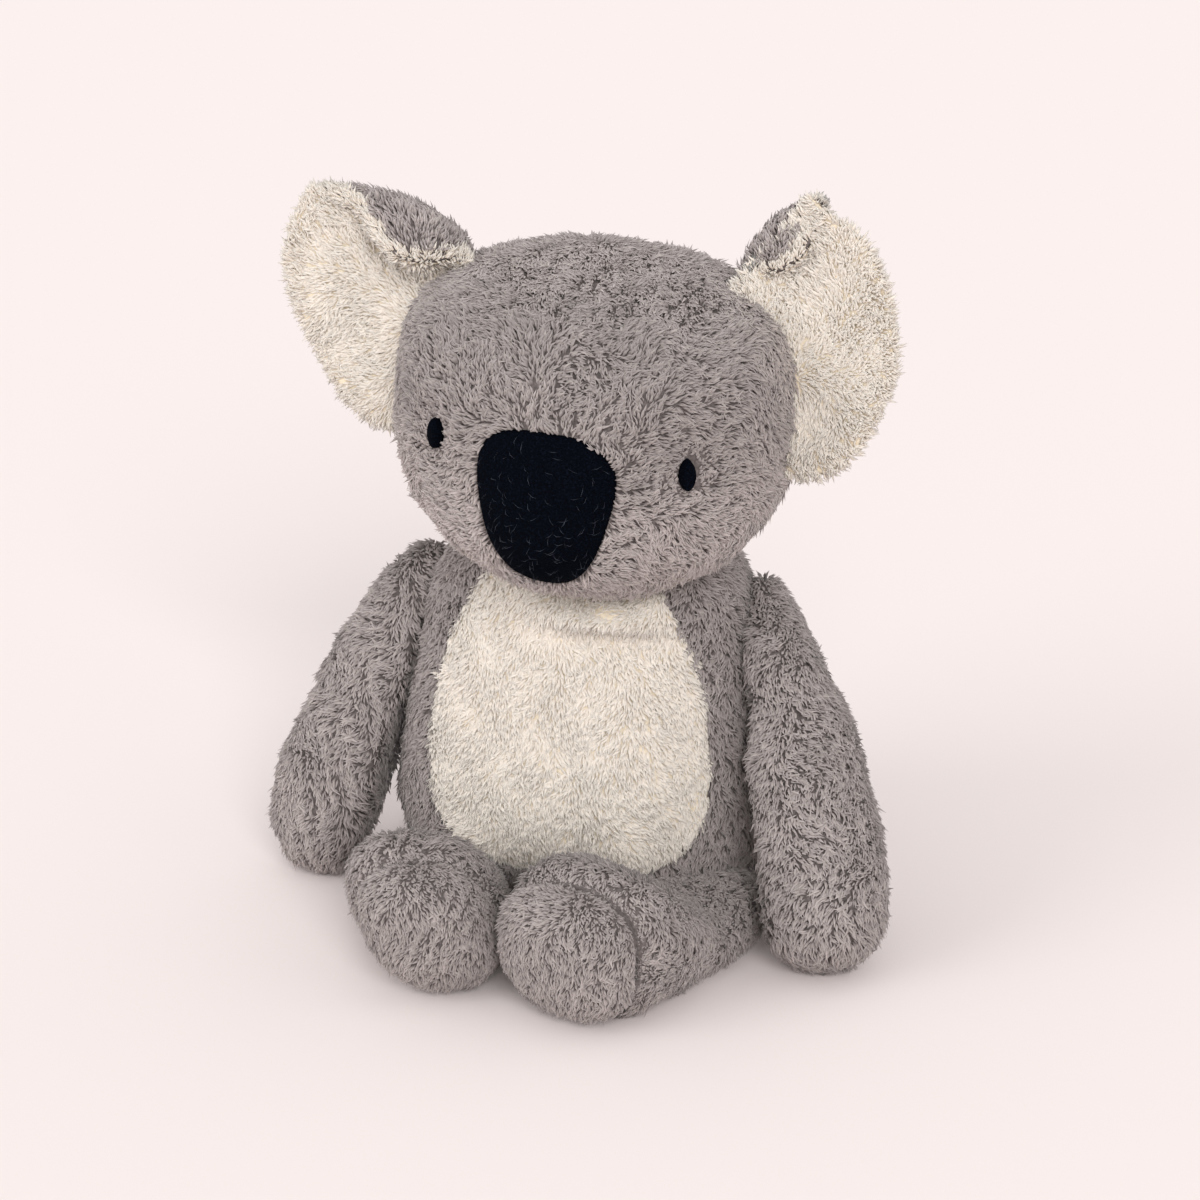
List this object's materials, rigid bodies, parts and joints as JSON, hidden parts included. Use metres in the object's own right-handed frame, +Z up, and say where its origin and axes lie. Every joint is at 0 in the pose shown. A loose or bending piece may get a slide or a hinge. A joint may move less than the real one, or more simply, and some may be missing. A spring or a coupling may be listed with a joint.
{
  "type": "plush koala",
  "caption": "Seated soft toy koala in long-pile plush, with a head that turns, ears that flap, and arms and legs that swing at their seams.",
  "frame": {"origin": "middle of the flat underside of the seat, on the ground, straight below the neck", "axes": "+Z up through the neck seam, -Y the way the toy faces, +X towards its own left side"},
  "size_m": [0.26, 0.2223, 0.29],
  "materials": {
    "grey_plush": "long-pile polyester plush, matt",
    "cream_plush": "long-pile polyester plush, matt",
    "navy_felt": "brushed wool felt, matt",
    "stuffing": "loose polyester fibre",
    "pellet_bag": "woven bag of plastic granules",
    "thread": "polyester thread"
  },
  "bodies": {
    "body": {"body_skin": "grey_plush", "belly_panel": "cream_plush", "body_stuffing": "stuffing", "seat_pellet_bag": "pellet_bag", "neck_thread": "thread"},
    "head": {"head_skin": "grey_plush", "head_stuffing": "stuffing", "nose_patch": "navy_felt", "eye_right": "navy_felt", "eye_left": "navy_felt"},
    "ear_right": {"ear_back_right": "grey_plush", "ear_lining_right": "cream_plush"},
    "arm_right": {"arm_skin_right": "grey_plush", "arm_stuffing_right": "stuffing"},
    "leg_right": {"leg_skin_right": "grey_plush", "sole_right": "grey_plush", "leg_stuffing_right": "stuffing"},
    "ear_left": {"ear_back_left": "grey_plush", "ear_lining_left": "cream_plush"},
    "arm_left": {"arm_skin_left": "grey_plush", "arm_stuffing_left": "stuffing"},
    "leg_left": {"leg_skin_left": "grey_plush", "sole_left": "grey_plush", "leg_stuffing_left": "stuffing"}
  },
  "joints": [
    {"name": "neck_turn", "type": "hinge", "parent": "body", "child": "head", "pos_m": [0, 0, 0.145], "axis": [0, 0, 1], "range_deg": [-35, 35]},
    {"name": "shoulder_right", "type": "hinge", "parent": "body", "child": "arm_right", "pos_m": [-0.06782, 0, 0.10807], "axis": [-0.9688, 0, 0.2479], "range_deg": [-30, 75]},
    {"name": "hip_right", "type": "hinge", "parent": "body", "child": "leg_right", "pos_m": [-0.06, -0.044, 0.016], "axis": [-1, 0, 0], "range_deg": [-60, 20]},
    {"name": "ear_flap_right", "type": "hinge", "parent": "head", "child": "ear_right", "pos_m": [-0.06573, -0.01359, 0.23512], "axis": [0.2306, 0.0495, 0.9718], "range_deg": [-25, 25]},
    {"name": "shoulder_left", "type": "hinge", "parent": "body", "child": "arm_left", "pos_m": [0.06782, 0, 0.10807], "axis": [-0.9688, 0, -0.2479], "range_deg": [-30, 54]},
    {"name": "hip_left", "type": "hinge", "parent": "body", "child": "leg_left", "pos_m": [0.06, -0.044, 0.016], "axis": [-1, 0, 0], "range_deg": [-60, 20]},
    {"name": "ear_flap_left", "type": "hinge", "parent": "head", "child": "ear_left", "pos_m": [0.08517, -0.01886, 0.22456], "axis": [-0.0896, 0.0606, 0.9941], "range_deg": [-25, 25]}
  ]
}
